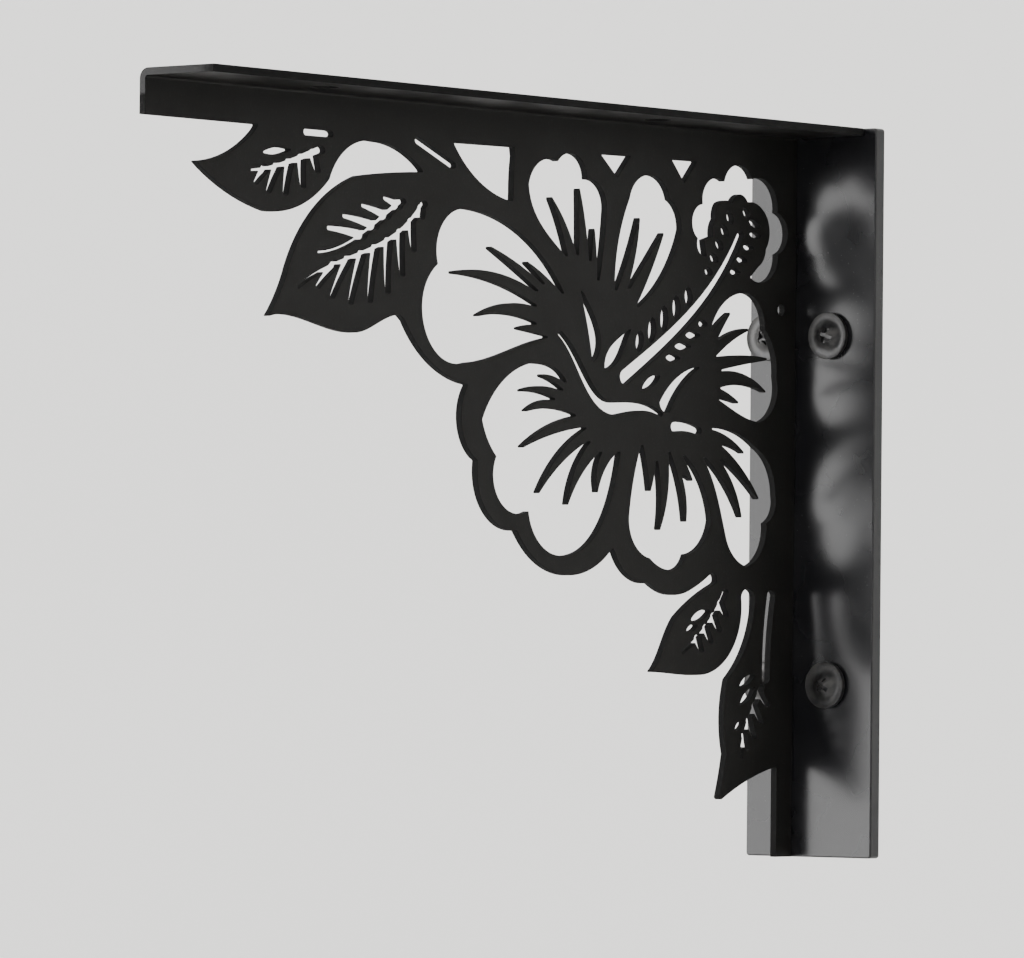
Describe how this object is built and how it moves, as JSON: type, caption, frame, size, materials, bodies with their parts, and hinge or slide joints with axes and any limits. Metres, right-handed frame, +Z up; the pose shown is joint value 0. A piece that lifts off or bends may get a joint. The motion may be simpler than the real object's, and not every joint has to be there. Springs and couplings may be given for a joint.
{
  "type": "shelf bracket",
  "caption": "Black metal shelf bracket: a pierced hibiscus plate whose folded top edge carries the shelf, on a flat bar that is screwed to the wall.",
  "frame": {"origin": "on the wall, at the back face of the flat bar, in the middle of its width and halfway between the upper and lower screws", "axes": "-Y out from the wall to the front of the shelf, +Y into the wall, +Z up, +X to the side that the ledge is folded to"},
  "size_m": [0.032, 0.2, 0.148],
  "materials": {
    "plate_coat": "fine-grained satin black powder coat",
    "bar_coat": "semi-gloss black paint",
    "screw_finish": "satin black screw finish"
  },
  "bodies": {
    "root": {"flower_plate": "plate_coat", "wall_bar": "bar_coat", "screw_upper_right": "screw_finish", "screw_upper_left": "screw_finish", "screw_lower_right": "screw_finish", "screw_lower_left": "screw_finish"}
  },
  "joints": []
}
